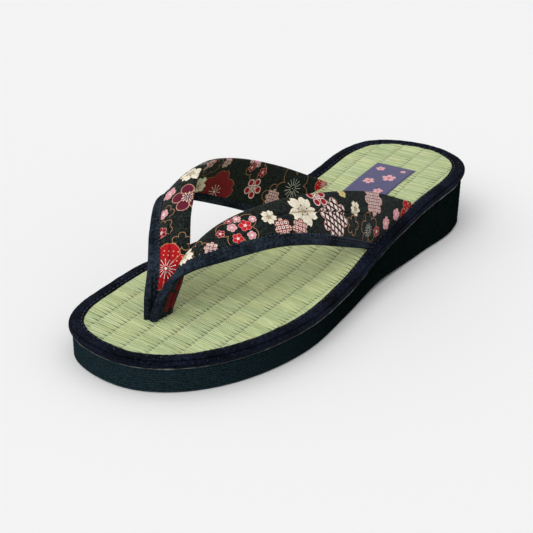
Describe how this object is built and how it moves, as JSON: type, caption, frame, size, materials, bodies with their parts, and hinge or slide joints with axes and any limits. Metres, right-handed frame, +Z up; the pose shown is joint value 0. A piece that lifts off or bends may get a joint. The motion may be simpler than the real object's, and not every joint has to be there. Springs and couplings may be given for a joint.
{
  "type": "zori sandal",
  "caption": "Thong sandal with a woven rush footbed, bound edge, low wedge outsole and a wide floral cloth strap that rises from a toe post and spreads to both sides.",
  "frame": {"origin": "centre of the plan box on the ground plane under the sole", "axes": "+Z up, -Y towards the toe, +Y towards the heel, +X towards the wearer's left, which is the outer side of this left sandal"},
  "size_m": [0.0886, 0.245, 0.0599],
  "materials": {
    "outsole_foam": "matt moulded foam rubber with fine ribs",
    "edge_tape": "matt navy-black woven tape",
    "woven_rush": "satin woven rush",
    "strap_cloth": "matt printed cloth with woven slub",
    "piping_cloth": "matt navy-black bias cloth",
    "label_cloth": "smooth woven label"
  },
  "bodies": {
    "root": {"outsole": "outsole_foam", "binding": "edge_tape", "footbed": "woven_rush", "strap": "strap_cloth", "piping_near": "piping_cloth", "piping_far": "piping_cloth", "label": "label_cloth"}
  },
  "joints": []
}
